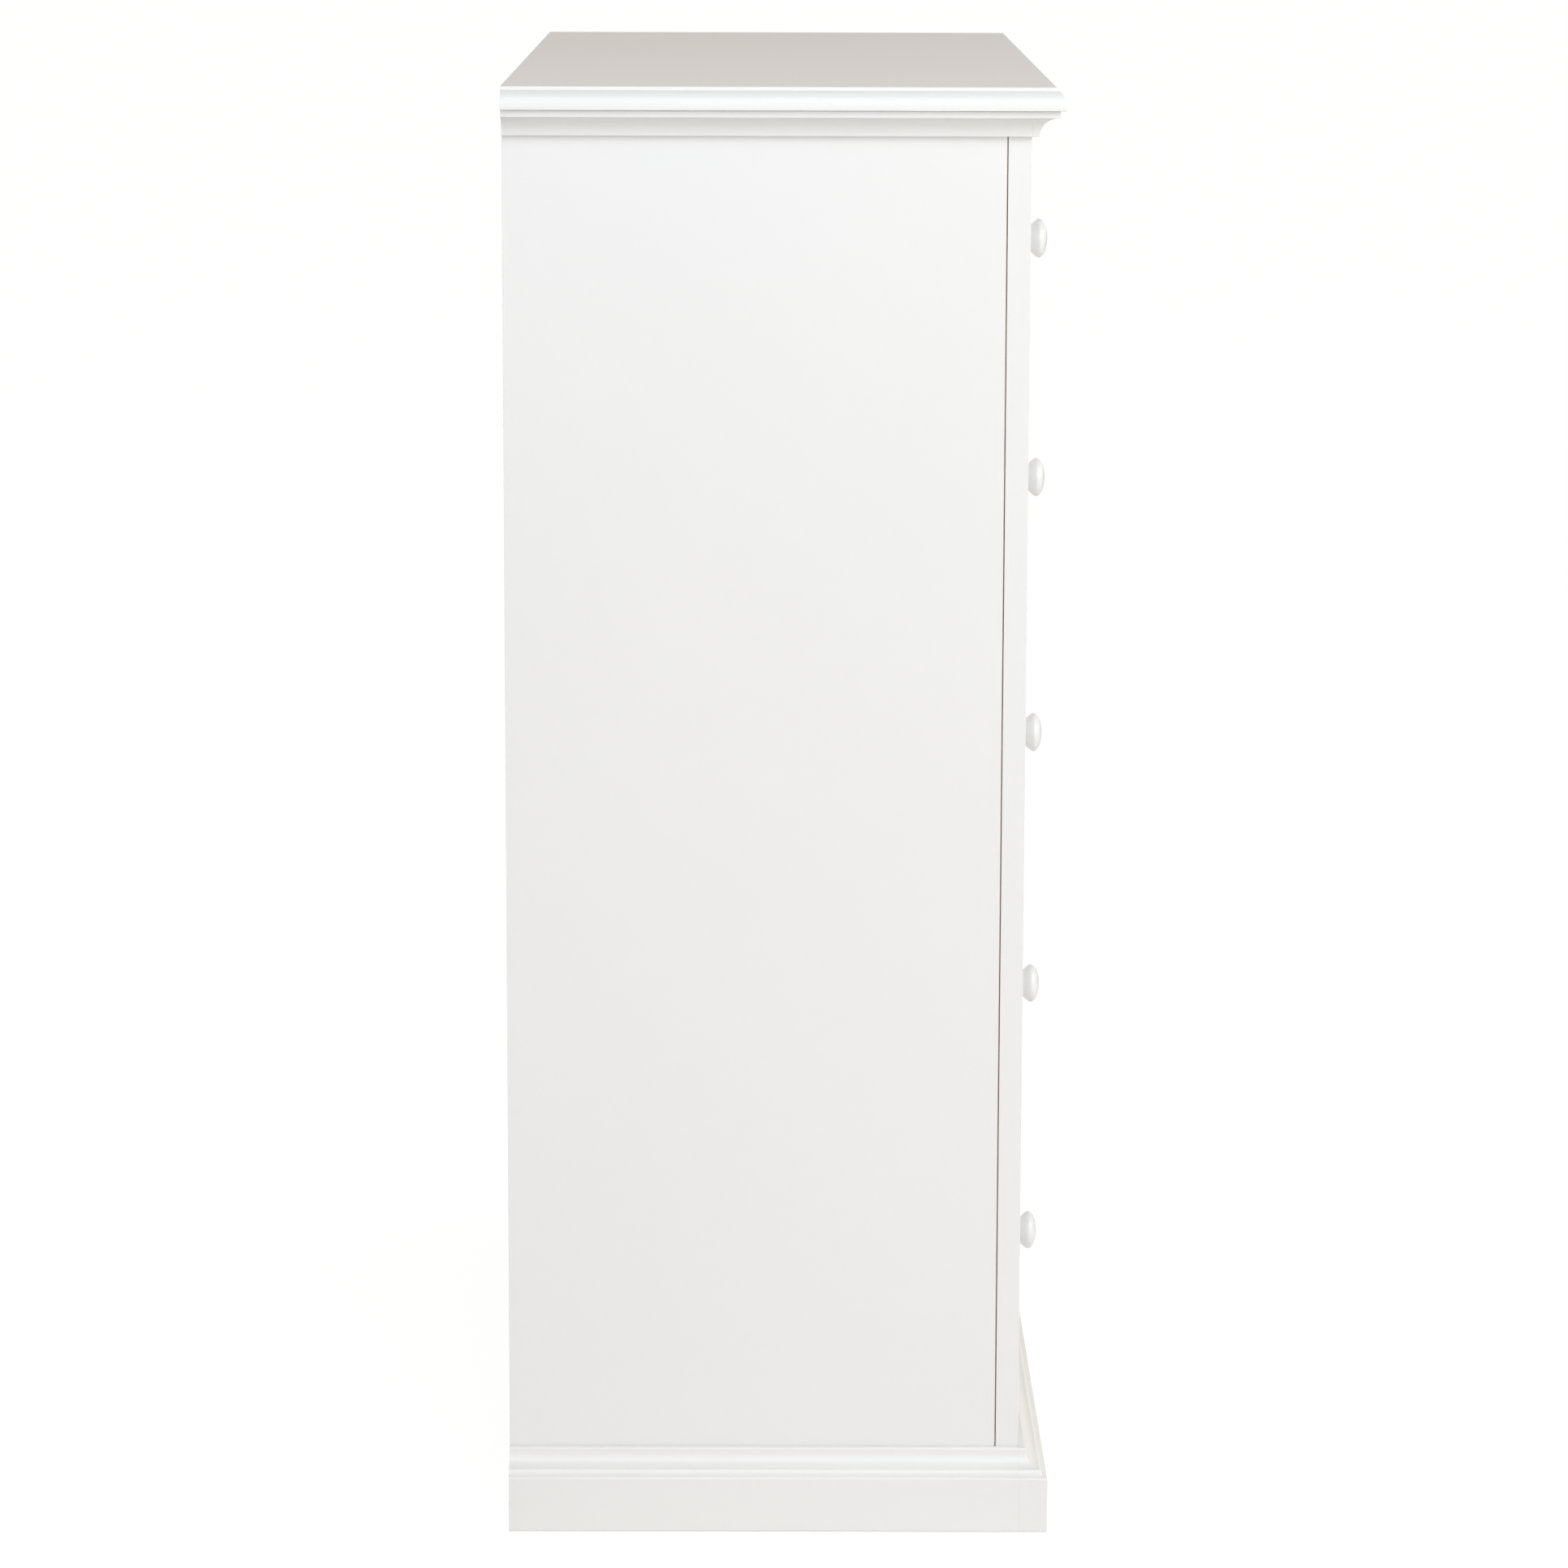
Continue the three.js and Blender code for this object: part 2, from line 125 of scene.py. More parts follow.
def add_math(tree, operation, first, second=0.0, clamp=False):
    """One step of arithmetic on two numbers or outputs."""
    node = tree.nodes.new("ShaderNodeMath")
    node.operation = operation
    node.use_clamp = clamp
    for socket, value in zip(node.inputs, (first, second)):
        if isinstance(value, bpy.types.NodeSocket):
            tree.links.new(value, socket)
        else:
            socket.default_value = value
    return node.outputs[0]


def add_mix(tree, factor, first, second, blend="MIX"):
    """A mix of two colours, each a value or an output."""
    node = tree.nodes.new("ShaderNodeMix")
    node.data_type = "RGBA"
    node.blend_type = blend
    for socket, value in ((node.inputs[0], factor), (node.inputs[6], first), (node.inputs[7], second)):
        if isinstance(value, bpy.types.NodeSocket):
            tree.links.new(value, socket)
        else:
            socket.default_value = value
    return node.outputs[2]


def add_range(tree, value, low, high, to_low, to_high, smooth=False):
    """Stretches a value from one range to another, and holds it at the ends."""
    kind = "SMOOTHSTEP" if smooth else "LINEAR"
    node = add_node(tree, "MapRange", {"interpolation_type": kind}, Value=value)
    for label, number in (("From Min", low), ("From Max", high), ("To Min", to_low), ("To Max", to_high)):
        node.inputs[label].default_value = number
    return node.outputs["Result"]


# %% Node group: a sprayed paint film
def build_paint_film():
    """Wide soft patches of warmer and cooler white, a fine orange-peel relief, and here and there a tiny
    nib of dust under the last coat."""
    tree, given, result = new_group(
        "sprayed_film",
        [("Vector", "Vector", None), ("Color", "Color", (0.8, 0.8, 0.78, 1)), ("Roughness", "Float", 0.4),
         ("Unevenness", "Float", 0.03), ("Peel Size", "Float", 0.002)],
        [("Color", "Color"), ("Roughness", "Float"), ("Height", "Float")],
    )
    patches = add_node(tree, "TexNoise", Vector=given["Vector"], Scale=3.1, Detail=4.0, Roughness=0.55)
    off_middle = add_math(tree, "SUBTRACT", patches.outputs["Fac"], 0.5)
    drift = add_math(tree, "MULTIPLY", off_middle, given["Unevenness"])
    bright = add_math(tree, "ADD", drift, 1.0)
    shaded = add_node(tree, "VectorMath", {"operation": "SCALE"}, Vector=given["Color"], Scale=bright)
    tint = add_node(tree, "TexNoise", Vector=given["Vector"], Scale=1.3, Detail=2.0)
    warmth = add_range(tree, tint.outputs["Fac"], 0.35, 0.65, 0.0, 0.12, smooth=True)
    warmed = add_mix(tree, warmth, shaded.outputs[0], (0.985, 0.955, 0.9, 1), blend="MULTIPLY")
    tree.links.new(warmed, result["Color"])

    peel_scale = add_math(tree, "DIVIDE", 1.0, given["Peel Size"])
    peel = add_node(tree, "TexNoise", Vector=given["Vector"], Scale=peel_scale, Detail=2.0, Roughness=0.4)
    nib_scale = add_math(tree, "MULTIPLY", peel_scale, 0.035)
    nibs = add_node(tree, "TexVoronoi", Vector=given["Vector"], Scale=nib_scale)
    nib = add_range(tree, nibs.outputs["Distance"], 0.0, 0.02, 1.0, 0.0, smooth=True)
    height = add_math(tree, "ADD", peel.outputs["Fac"], nib)
    tree.links.new(height, result["Height"])

    sheen = add_math(tree, "MULTIPLY", add_math(tree, "SUBTRACT", patches.outputs["Fac"], 0.5), 0.12)
    grit = add_math(tree, "MULTIPLY", add_math(tree, "SUBTRACT", peel.outputs["Fac"], 0.5), 0.08)
    rough = add_math(tree, "ADD", given["Roughness"], add_math(tree, "ADD", sheen, grit), clamp=True)
    tree.links.new(rough, result["Roughness"])
    return tree


paint_film = build_paint_film()
print("group:", paint_film.name)


# %% Node group: the figure of sawn wood
def build_wood_figure():
    """Growth rings round a line that runs along X, cut by the board's faces, with finer streaks along the
    grain and short dark flecks. The point is shifted by a noise first, whose slow part makes the rings
    wander and whose quicker part makes some years wide and some narrow. The same noise makes some rings
    faint."""
    tree, given, result = new_group(
        "sawn_wood",
        [("Vector", "Vector", None), ("Light", "Color", (0.7, 0.5, 0.3, 1)),
         ("Dark", "Color", (0.5, 0.3, 0.15, 1)), ("Ring Width", "Float", 0.005),
         ("Ring Contrast", "Float", 0.5), ("Flecks", "Float", 0.2)],
        [("Color", "Color"), ("Roughness", "Float"), ("Height", "Float")],
    )
    along = add_node(tree, "VectorMath", {"operation": "MULTIPLY"}, Vector=given["Vector"])
    along.inputs[1].default_value = (0.07, 1.0, 1.0)
    drawn = along.outputs[0]
    wander = add_node(tree, "TexNoise", Vector=drawn, Scale=9.0, Detail=4.0, Roughness=0.62)
    shift = add_node(tree, "VectorMath", {"operation": "MULTIPLY_ADD"}, Vector=wander.outputs["Color"])
    shift.inputs[1].default_value = (0.06, 0.06, 0.06)
    tree.links.new(drawn, shift.inputs[2])
    ring_scale = add_math(tree, "DIVIDE", math.tau / 20, given["Ring Width"])
    rings = add_node(tree, "TexWave", {"wave_type": "RINGS", "rings_direction": "X", "wave_profile": "SAW"},
                     Vector=shift.outputs[0], Scale=ring_scale, Distortion=1.2, Detail=1.0)
    late_wood = add_range(tree, rings.outputs["Fac"], 0.35, 1.0, 0.0, 1.0, smooth=True)

    fibre = add_node(tree, "VectorMath", {"operation": "MULTIPLY"}, Vector=given["Vector"])
    fibre.inputs[1].default_value = (0.012, 1.0, 1.0)
    streaks = add_node(tree, "TexNoise", Vector=fibre.outputs[0], Scale=1400.0, Detail=3.0, Roughness=0.6)
    fleck_vector = add_node(tree, "VectorMath", {"operation": "MULTIPLY"}, Vector=given["Vector"])
    fleck_vector.inputs[1].default_value = (0.16, 1.0, 1.0)
    flecks = add_node(tree, "TexVoronoi", Vector=fleck_vector.outputs[0], Scale=620.0)
    fleck = add_range(tree, flecks.outputs["Distance"], 0.12, 0.3, 1.0, 0.0, smooth=True)

    boldness = add_range(tree, wander.outputs["Fac"], 0.38, 0.6, 0.3, 1.0, smooth=True)
    bold_rings = add_math(tree, "MULTIPLY", late_wood, boldness)
    ring_share = add_math(tree, "MULTIPLY", bold_rings, given["Ring Contrast"])
    streak_share = add_math(tree, "MULTIPLY", add_math(tree, "SUBTRACT", streaks.outputs["Fac"], 0.5), 0.5)
    fleck_share = add_math(tree, "MULTIPLY", fleck, given["Flecks"])
    fine_share = add_math(tree, "ADD", streak_share, fleck_share)
    dark_share = add_math(tree, "ADD", ring_share, fine_share, clamp=True)
    tree.links.new(add_mix(tree, dark_share, given["Light"], given["Dark"]), result["Color"])
    tree.links.new(add_range(tree, dark_share, 0.0, 1.0, 0.62, 0.5), result["Roughness"])
    tree.links.new(add_math(tree, "SUBTRACT", streaks.outputs["Fac"], dark_share), result["Height"])
    return tree


wood_figure = build_wood_figure()
print("group:", wood_figure.name)

# %% [markdown]
# ## Finishes
# The outside is satin white paint, sprayed over primer on smooth boards, so no grain shows: what tells the
# eye that it is paint is a soft gloss, a very fine relief and slight unevenness. The knobs have a glossier
# coat of the same white. Inside, the drawer boxes are bare pine, the runners beech, and the back is a brown
# fibreboard.
#
# Every pattern reads Object coordinates. All pieces have their object at the origin, so a board's pattern
# stays fixed in the wood when its drawer slides.


# %% Helper for materials
def new_finish(name, roughness=0.5):
    """A material with its Principled shader, and the Object coordinates that its patterns read."""
    material = bpy.data.materials.new(name)
    material.use_nodes = True
    tree = material.node_tree
    shader = tree.nodes["Principled BSDF"]
    shader.inputs["Roughness"].default_value = roughness
    coordinates = tree.nodes.new("ShaderNodeTexCoord").outputs["Object"]
    return material, tree, shader, coordinates


def add_bump(tree, shader, height, distance, strength=1.0):
    """Relief from a height, its depth in metres."""
    bump = add_node(tree, "Bump", Height=height, Distance=distance, Strength=strength)
    tree.links.new(bump.outputs["Normal"], shader.inputs["Normal"])


def place_group(tree, group, **inputs):
    """A shared group placed in a material with its own values."""
    node = tree.nodes.new("ShaderNodeGroup")
    node.node_tree = group
    for label, value in inputs.items():
        socket = node.inputs[label.replace("_", " ")]
        if isinstance(value, bpy.types.NodeSocket):
            tree.links.new(value, socket)
        else:
            socket.default_value = value
    return node.outputs


# %% Painted finishes
COAT_ROUGHNESS, PAINT_IOR = 0.28, 1.48


def paint_finish(name, colour, roughness, coat, unevenness, peel_size, peel_depth):
    """White paint over primer. The coat is the thin clear skin that gives satin paint its edge of shine."""
    material, tree, shader, coordinates = new_finish(name)
    film = place_group(tree, paint_film, Vector=coordinates, Color=colour, Roughness=roughness,
                       Unevenness=unevenness, Peel_Size=peel_size)
    tree.links.new(film["Color"], shader.inputs["Base Color"])
    tree.links.new(film["Roughness"], shader.inputs["Roughness"])
    shader.inputs["Coat Weight"].default_value = coat
    shader.inputs["Coat Roughness"].default_value = COAT_ROUGHNESS
    shader.inputs["IOR"].default_value = PAINT_IOR
    add_bump(tree, shader, film["Height"], peel_depth)
    return material


PAINT_WHITE, KNOB_WHITE = (0.828, 0.828, 0.816, 1), (0.775, 0.785, 0.8, 1)
# Roughness, coat, unevenness, and the size and depth of the film's relief.
SATIN = (0.38, 0.45, 0.03, 1.6 * MM, 0.012 * MM)
GLOSSIER = (0.3, 0.5, 0.02, 1.2 * MM, 0.006 * MM)
satin_white = paint_finish("satin_white_paint", PAINT_WHITE, *SATIN)
knob_white = paint_finish("knob_white_paint", KNOB_WHITE, *GLOSSIER)

# A brown painted as shade in the groove beside each stile, which is also the bare board's own colour on the
# inner faces.
GROOVE_SHADE_AND_BARE_BOARD = (0.55, 0.38, 0.25, 1)


def add_groove_shade_and_bare_board(material, skin_half, skin_front):
    """Mixes a brown into the paint deeper in than the body's outer sides, which are at skin_half from the
    middle, and behind the frame's back at skin_front. In the narrow groove beside each stile that brown is
    painted shade; on the inner faces it is the bare board's own colour."""
    tree = material.node_tree
    shader = tree.nodes["Principled BSDF"]
    coordinates = next(node for node in tree.nodes if node.type == "TEX_COORD").outputs["Object"]
    place = add_node(tree, "SeparateXYZ", Vector=coordinates).outputs
    aside = add_math(tree, "ABSOLUTE", place["X"])
    deep = add_range(tree, aside, skin_half - 1.0 * MM, skin_half - 0.4 * MM, 1, 0)
    behind = add_range(tree, place["Y"], skin_front - 1.0 * MM, skin_front - 0.4 * MM, 0, 1)
    painted = shader.inputs["Base Color"].links[0].from_socket
    # Painted shade: the brown darkens the groove beside each stile; on the inner faces it stands for bare
    # board.
    shade_and_bare = add_mix(tree, add_math(tree, "MULTIPLY", deep, behind), painted, GROOVE_SHADE_AND_BARE_BOARD)
    tree.links.new(shade_and_bare, shader.inputs["Base Color"])
    return material


panel_paint = paint_finish("satin_white_panel", PAINT_WHITE, *SATIN)
panel_white = add_groove_shade_and_bare_board(panel_paint, body_half, stile_high.y)
print("painted finishes:", satin_white.name, panel_white.name, knob_white.name)


# %% Bare woods
def wood_finish(name, light, dark, grain_axis, ring_width, ring_contrast, flecks, relief):
    """Sawn and planed wood whose grain runs along one axis of the chest. The Mapping node turns that axis
    to the group's X, and sets the heart of the tree off to one side so that the rings cut across as long
    arcs."""
    material, tree, shader, coordinates = new_finish(name)
    mapping = add_node(tree, "Mapping", Vector=coordinates)
    mapping.inputs["Rotation"].default_value = {"X": (0, 0, 0), "Y": (0, 0, -math.pi / 2)}[grain_axis]
    mapping.inputs["Location"].default_value = (0.0, 0.11, 0.07)
    figure = place_group(tree, wood_figure, Vector=mapping.outputs[0], Light=light, Dark=dark,
                         Ring_Width=ring_width, Ring_Contrast=ring_contrast, Flecks=flecks)
    tree.links.new(figure["Color"], shader.inputs["Base Color"])
    tree.links.new(figure["Roughness"], shader.inputs["Roughness"])
    add_bump(tree, shader, figure["Height"], relief)
    return material


PINE_LIGHT, PINE_DARK = (0.68, 0.47, 0.25, 1), (0.46, 0.25, 0.09, 1)
BEECH_LIGHT, BEECH_DARK = (0.5, 0.3, 0.16, 1), (0.33, 0.17, 0.08, 1)
PLY_LIGHT, PLY_DARK = (0.66, 0.5, 0.31, 1), (0.5, 0.34, 0.18, 1)
pine_along_y = wood_finish("pine_side", PINE_LIGHT, PINE_DARK, "Y", 6 * MM, 0.6, 0.05, 0.05 * MM)
pine_along_x = wood_finish("pine_back", PINE_LIGHT, PINE_DARK, "X", 6 * MM, 0.6, 0.05, 0.05 * MM)
ply_along_x = wood_finish("birch_ply", PLY_LIGHT, PLY_DARK, "X", 14 * MM, 0.3, 0.1, 0.02 * MM)
beech_along_y = wood_finish("beech_runner", BEECH_LIGHT, BEECH_DARK, "Y", 5 * MM, 0.25, 0.6, 0.03 * MM)
print("woods:", pine_along_y.name, pine_along_x.name, ply_along_x.name, beech_along_y.name)


# %% Fibreboard for the back
def fibreboard_finish():
    """Pressed wood fibre: a brown ground with fine darker and lighter fibres and a faint cloudiness."""
    material, tree, shader, coordinates = new_finish("fibreboard_back", 0.6)
    clouds = add_node(tree, "TexNoise", Vector=coordinates, Scale=11.0, Detail=4.0)
    fibres = add_node(tree, "TexNoise", Vector=coordinates, Scale=900.0, Detail=4.0, Roughness=0.7,
                      Distortion=1.5)
    ground = add_mix(tree, add_range(tree, clouds.outputs["Fac"], 0.3, 0.7, 0.0, 1.0, smooth=True),
                     (0.25, 0.145, 0.075, 1), (0.31, 0.19, 0.105, 1))
    fibre = add_range(tree, fibres.outputs["Fac"], 0.35, 0.65, 0.0, 0.55, smooth=True)
    tree.links.new(add_mix(tree, fibre, ground, (0.42, 0.28, 0.17, 1)), shader.inputs["Base Color"])
    tree.links.new(add_range(tree, fibres.outputs["Fac"], 0.3, 0.7, 0.5, 0.68), shader.inputs["Roughness"])
    add_bump(tree, shader, fibres.outputs["Fac"], 0.03 * MM)
    return material


fibreboard = fibreboard_finish()


# %% Plated steel for screws and pins
def plated_steel_finish():
    """Bright zinc plate, with fine dulled specks that change its roughness."""
    material, tree, shader, coordinates = new_finish("zinc_plated_steel", 0.3)
    specks = add_node(tree, "TexNoise", Vector=coordinates, Scale=1800.0, Detail=3.0)
    worn = add_range(tree, specks.outputs["Fac"], 0.35, 0.65, 0.0, 1.0, smooth=True)
    zinc = add_mix(tree, worn, (0.62, 0.63, 0.64, 1), (0.5, 0.5, 0.49, 1))
    tree.links.new(zinc, shader.inputs["Base Color"])
    tree.links.new(add_range(tree, worn, 0.0, 1.0, 0.24, 0.42), shader.inputs["Roughness"])
    shader.inputs["Metallic"].default_value = 1.0
    return material


plated_steel = plated_steel_finish()
print("other finishes:", fibreboard.name, plated_steel.name)

# %% [markdown]
# ## Making a piece
# Every new piece goes through the same last steps: its points and faces become a mesh, the faces are turned
# to point outwards, a narrow Bevel eases the arrises as sandpaper and paint do, and Weighted Normal keeps
# the wide flats truly flat beside those narrow rounds. Then the piece is tied to the body that it moves
# with, and the CAD solids that it stands for are hidden.

# %% Helpers for finished pieces
ARRIS_SEGMENTS = 3
ARRIS_ANGLE = math.radians(40)
FLAT_WEIGHT = 80


def add_arris(piece, width):
    """A live Bevel of that width on every corner sharper than the limit, then area-weighted normals."""
    bevel = piece.modifiers.new("eased_arris", "BEVEL")
    bevel.width = width
    bevel.segments = ARRIS_SEGMENTS
    bevel.limit_method = "ANGLE"
    bevel.angle_limit = ARRIS_ANGLE
    weighted = piece.modifiers.new("flat_stays_flat", "WEIGHTED_NORMAL")
    weighted.weight = FLAT_WEIGHT


def outward(mesh):
    """Turns every face of a closed mesh to point out of it."""
    shell = bmesh.new()
    shell.from_mesh(mesh)
    bmesh.ops.recalc_face_normals(shell, faces=shell.faces)
    shell.to_mesh(mesh)
    shell.free()


def make_piece(name, points, faces, finish, body, nodes=(), arris=0.0):
    """Builds one piece from points and faces, in the row frame."""
    mesh = bpy.data.meshes.new(name)
    mesh.from_pydata(np.asarray(points).reshape(-1, 3).tolist(), [], faces)
    outward(mesh)
    return finish_piece(name, mesh, finish, body, nodes, arris)


def finish_piece(name, mesh, finish, body, nodes, arris):
    """Gives a mesh its object, finish, smooth shading, eased arrises, body and slot, and hides the solids
    it stands for."""
    mesh.shade_smooth()
    mesh.materials.append(finish)
    piece = bpy.data.objects.new(name, mesh)
    bpy.context.scene.collection.objects.link(piece)
    if arris:
        add_arris(piece, arris)
    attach(piece, body)
    if nodes:
        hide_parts(*nodes)
    return piece


def grid_faces(rows, columns, closed=False, first=0):
    """Quads between neighbouring points of a grid that is numbered row by row. closed joins the last column
    to the first, as round a turned shape."""
    index = first + np.arange(rows * columns).reshape(rows, columns)
    if closed:
        index = np.hstack([index, index[:, :1]])
    corners = [index[:-1, :-1], index[:-1, 1:], index[1:, 1:], index[1:, :-1]]
    return np.stack(corners, axis=-1).reshape(-1, 4).tolist()


# %% [markdown]
# ## Plain boards
# The side panels, frame, drawer fronts and drawer boxes are flat boards, and the CAD solids already have
# their true shapes, with each groove, rebate and hole. They could be drawn again, but nothing would be
# gained. Each is copied, its loose triangles are merged into whole faces, and the Bevel rounds the arrises:
# wider under paint, narrower on bare wood.

# %% Helper for plain boards
PANEL_ARRIS = 0.25 * MM
PAINTED_ARRIS = 0.7 * MM
BARE_ARRIS = 0.4 * MM
MERGE_DISTANCE = 0.001 * MM
FLAT_ANGLE = math.radians(0.4)


def eased_board(node, finish, body, arris):
    """A copy of a CAD board with its triangles merged into flat faces and its arrises eased."""
    shell = bmesh.new()
    shell.from_mesh(frame["nodes"][node].data)
    bmesh.ops.remove_doubles(shell, verts=shell.verts, dist=MERGE_DISTANCE)
    bmesh.ops.dissolve_limit(shell, angle_limit=FLAT_ANGLE, verts=shell.verts, edges=shell.edges)
    bmesh.ops.recalc_face_normals(shell, faces=shell.faces)
    mesh = bpy.data.meshes.new(node + "_eased")
    shell.to_mesh(mesh)
    shell.free()
    return finish_piece(node + "_eased", mesh, finish, body, [node], arris)


# %% Carcass boards
PANEL_BOARDS = ["side_panel_left", "side_panel_right", "stile_left", "stile_right"]
RAIL_BOARDS = ["top_rail", "bottom_rail"]
for board in PANEL_BOARDS:
    eased_board(board, panel_white, "carcass", PANEL_ARRIS)
for board in RAIL_BOARDS:
    eased_board(board, satin_white, "carcass", PAINTED_ARRIS)
eased_board("bottom_panel", ply_along_x, "carcass", BARE_ARRIS)
eased_board("back_panel", fibreboard, "carcass", BARE_ARRIS)
print("carcass boards:", len(PANEL_BOARDS + RAIL_BOARDS) + 2)

# %% Drawer boxes and runners
DRAWERS = sorted(body for body in frame["bodies"] if body.startswith("drawer_"))
HANDS = ("left", "right")
for drawer in DRAWERS:
    eased_board(f"{drawer}_front", satin_white, drawer, PAINTED_ARRIS)
    eased_board(f"{drawer}_back", pine_along_x, drawer, BARE_ARRIS)
    eased_board(f"{drawer}_bottom", ply_along_x, drawer, BARE_ARRIS)
    for hand in HANDS:
        eased_board(f"{drawer}_side_{hand}", pine_along_y, drawer, BARE_ARRIS)
        runner = drawer.replace("drawer", "runner")
        eased_board(f"{runner}_{hand}", beech_along_y, "carcass", BARE_ARRIS)
print("drawers:", ", ".join(DRAWERS))

# %% [markdown]
# ## Mouldings
# The top's edge, the cornice under it and the plinth are all mouldings: one profile, run along the sides
# and the front. A joiner cuts the profile on a machine and mitres or shapes the corners. The same idea
# makes the surface here: a profile of (out, up) points is carried along a path of stations in plan. At a
# corner the profile is pushed out along the corner's bisector, which is what a mitre does. Bevelling a box
# would give a similar edge cheaply, but not a cove.

# %% Helpers for profiles
ARC_STEPS = 18
EASE_STEPS = 5
SHARP_TURN = 25.0


def arc(out, up, radius_out, radius_up, start, end):
    """Points of an ellipse's arc, evenly spaced in angle t from start to end, in degrees: (out + radius_out
    cos t, up + radius_up sin t)."""
    t = np.radians(np.linspace(start, end, ARC_STEPS + 1))
    return np.column_stack([out + radius_out * np.cos(t), up + radius_up * np.sin(t)])


def eased(outline, radius):
    """Rounds the sharp corners of an outline. With unit vectors a back along one edge and b on along the
    next, a corner c becomes the curve c + d ((1 - t)^2 a + t^2 b), where d is the radius or most of half an
    edge."""
    outline = np.asarray(outline, float)
    edges = np.diff(outline, axis=0)
    lengths = np.linalg.norm(edges, axis=1)
    ways = edges / lengths[:, None]
    turns = np.degrees(np.arccos(np.clip(np.sum(ways[:-1] * ways[1:], axis=1), -1, 1)))
    cuts = np.minimum(radius, 0.45 * np.minimum(lengths[:-1], lengths[1:]))
    t = np.linspace(0, 1, EASE_STEPS + 1)[:, None]
    rounded = [outline[:1]]
    for corner, back, on, turn, cut in zip(outline[1:-1], -ways[:-1], ways[1:], turns, cuts):
        curve = corner + cut * ((1 - t) ** 2 * back + t**2 * on)
        rounded.append(curve if turn > SHARP_TURN else corner[None])
    return np.vstack(rounded + [outline[-1:]])


# %% Profiles
TOP_SQUARE, TOP_ROUND, TOP_ROUND_END = 2 * MM, 11 * MM, 68.0
TOP_STEP, TOP_STEP_HEIGHT = 1.2 * MM, 3 * MM
CORNICE_FOOT, CORNICE_LIP, CORNICE_FILLET = 5.8 * MM, 0.7 * MM, 5.2 * MM
PLINTH_HEAD, PLINTH_HEAD_HEIGHT, PLINTH_COVE = 6.2 * MM, 3.7 * MM, 10.8 * MM
PLINTH_STEP, PLINTH_BEAD_WIDTH, PLINTH_BEAD_HEIGHT = 4.3 * MM, 2.6 * MM, 4.5 * MM
PLINTH_FALL, PLINTH_NOSE = 0.8 * MM, 1.6 * MM
SHARP_EASE, SOFT_EASE = 0.75 * MM, 1.8 * MM
INWARD = 4 * MM


def top_edge_profile(projection, height):
    """A square foot, an elliptical round, and a small sloping step up to the flat."""
    radius_up = (height - TOP_SQUARE - TOP_STEP_HEIGHT) / math.sin(math.radians(TOP_ROUND_END))
    curve = arc(projection - TOP_ROUND, TOP_SQUARE, TOP_ROUND, radius_up, 0, TOP_ROUND_END)
    flat = curve[-1, 0] - TOP_STEP
    ends = [[projection - INWARD, 0], [projection, 0]], [[flat, height], [flat - INWARD, height]]
    return np.vstack([ends[0], curve, ends[1]])


def cornice_profile(projection, height):
    """A foot, a hollow cove that rises and runs outwards, and a square fillet at the head."""
    cove_top = height - CORNICE_FILLET
    cove_out = projection - CORNICE_LIP
    curve = arc(cove_out, 0, cove_out - CORNICE_FOOT, cove_top, 180, 90)
    head = [[projection, cove_top], [projection, height], [projection - INWARD, height]]
    return np.vstack([[[CORNICE_FOOT - INWARD, 0]], curve, head])


def plinth_profile(projection, height):
    """A plain face, a small nose, a step, a bead, a cove that rises and runs inwards, and a square head."""
    head_foot = height - PLINTH_HEAD_HEIGHT
    cove_foot = head_foot - PLINTH_COVE
    bead_foot = cove_foot - PLINTH_BEAD_HEIGHT
    bead_out = projection - PLINTH_STEP - PLINTH_BEAD_WIDTH
    nose_up = bead_foot - PLINTH_FALL - PLINTH_NOSE
    nose = arc(projection - PLINTH_NOSE, nose_up, PLINTH_NOSE, PLINTH_NOSE, 0, 90)[::2]
    bead = arc(bead_out, bead_foot, PLINTH_BEAD_WIDTH, PLINTH_BEAD_HEIGHT, 0, 90)
    cove = arc(bead_out, head_foot, bead_out - PLINTH_HEAD, PLINTH_COVE, 270, 180)[1:]
    foot = [[projection - INWARD, 0], [projection, 0]]
    head = [[PLINTH_HEAD, height], [PLINTH_HEAD - INWARD, height]]
    return np.vstack([foot, nose, bead, cove, head])


# %% Helpers for running a moulding
CORNER_STEPS = 5
CORNER_ARRIS = 0.6 * MM


def stations_round(half_width, front, back):
    """A path round the left side, front and right side, as points in plan and the way out at each. At a
    corner the way out is the mitre (-1, -1), and the arris is rounded: with n turning from the side's way
    out to the front's, the point moves by r (n - mitre), which leaves the two faces where they were."""
    turn = np.radians(np.linspace(180, 270, CORNER_STEPS + 1))
    normal = np.column_stack([np.cos(turn), np.sin(turn)])
    mitre = np.array([-1.0, -1.0])
    corner = np.array([-half_width, front]) + CORNER_ARRIS * (normal - mitre)
    left = np.vstack([[[-half_width, back]], corner])
    left_ways = np.vstack([[[-1.0, 0.0]], np.tile(mitre, (len(corner), 1))])
    flip = np.array([-1.0, 1.0])
    return np.vstack([left, left[::-1] * flip]), np.vstack([left_ways, left_ways[::-1] * flip])


def carried(profile, points, ways, foot):
    """The grid of a profile carried along stations: point i plus out j times way i, at height foot plus up
    j."""
    plan = points[:, None, :] + profile[None, :, :1] * ways[:, None, :]
    height = np.broadcast_to(foot + profile[:, 1], plan.shape[:2])
    return np.dstack([plan, height])


